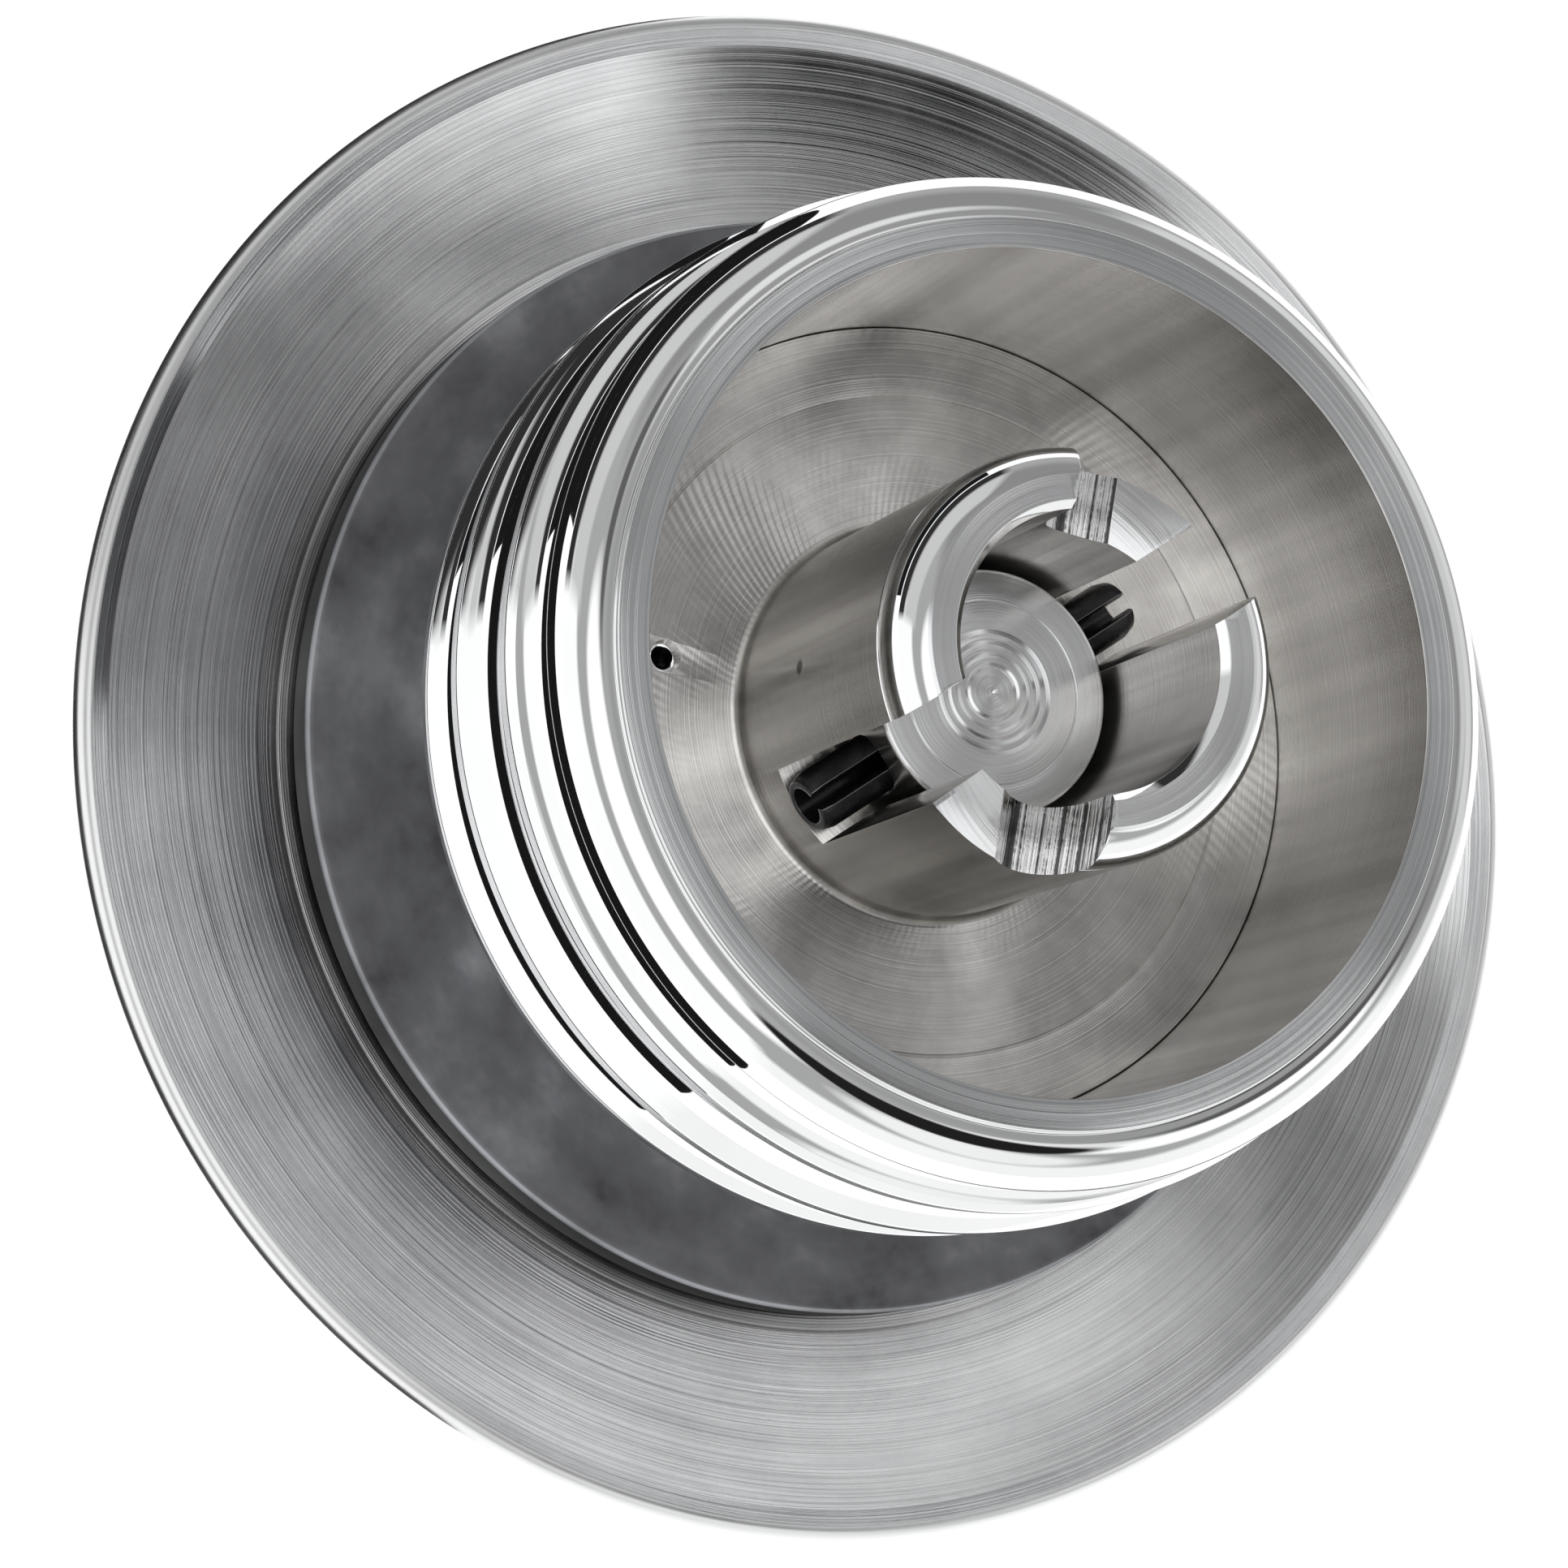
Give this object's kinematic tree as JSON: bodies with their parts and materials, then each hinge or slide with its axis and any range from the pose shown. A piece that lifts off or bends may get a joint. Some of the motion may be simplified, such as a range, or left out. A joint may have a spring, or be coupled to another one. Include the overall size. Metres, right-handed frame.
{
  "type": "bayonet plunger hub",
  "caption": "Round dished flange with a ribbed collar, a deep cup and a slotted bayonet boss, in which a spring-returned plunger carries a cross pin.",
  "frame": {"origin": "centre of the rear ring nut's flat face, which the hub stands on", "axes": "+Z along the turning axis, towards the mouth of the cup; the cross pin and the slots lie along Y"},
  "size_m": [0.105, 0.105, 0.0532],
  "materials": {
    "turned_chrome": "turned and chromed, fine concentric tool lines",
    "dull_metal": "dull dark grey, smudged",
    "fibre": "matt fibre sheet",
    "bright_chrome": "mirror chrome",
    "satin_nickel": "satin turned nickel",
    "steel": "plain steel",
    "black_steel": "black oxide",
    "bronze": "bearing bronze",
    "black_rubber": "moulded rubber"
  },
  "bodies": {
    "hub": {"flange_dish": "turned_chrome", "seat_washer": "dull_metal", "seat_gasket": "fibre", "ribbed_collar": "bright_chrome", "bayonet_boss": "satin_nickel", "index_dowel": "steel", "rear_ring_nut": "satin_nickel", "ring_nut_washer": "steel", "ring_nut_grub_screw_1": "black_steel", "ring_nut_grub_screw_2": "black_steel", "ring_nut_grub_screw_3": "black_steel", "guide_bush": "bronze", "stem_seal": "black_rubber", "spring_seat_washer": "steel", "return_spring": "steel"},
    "plunger": {"plunger": "satin_nickel", "cross_pin": "black_steel", "post_buffer": "black_rubber", "push_button": "bright_chrome", "button_o_ring": "black_rubber", "button_screw": "steel", "screw_lock_washer": "steel"}
  },
  "joints": [
    {"name": "plunger_push", "type": "slide", "parent": "hub", "child": "plunger", "axis": [0, 0, 1], "range_m": [0, 0.0165], "stiffness_N_per_m": 500, "springref_m": -0.012, "deforming": ["return_spring"]}
  ]
}
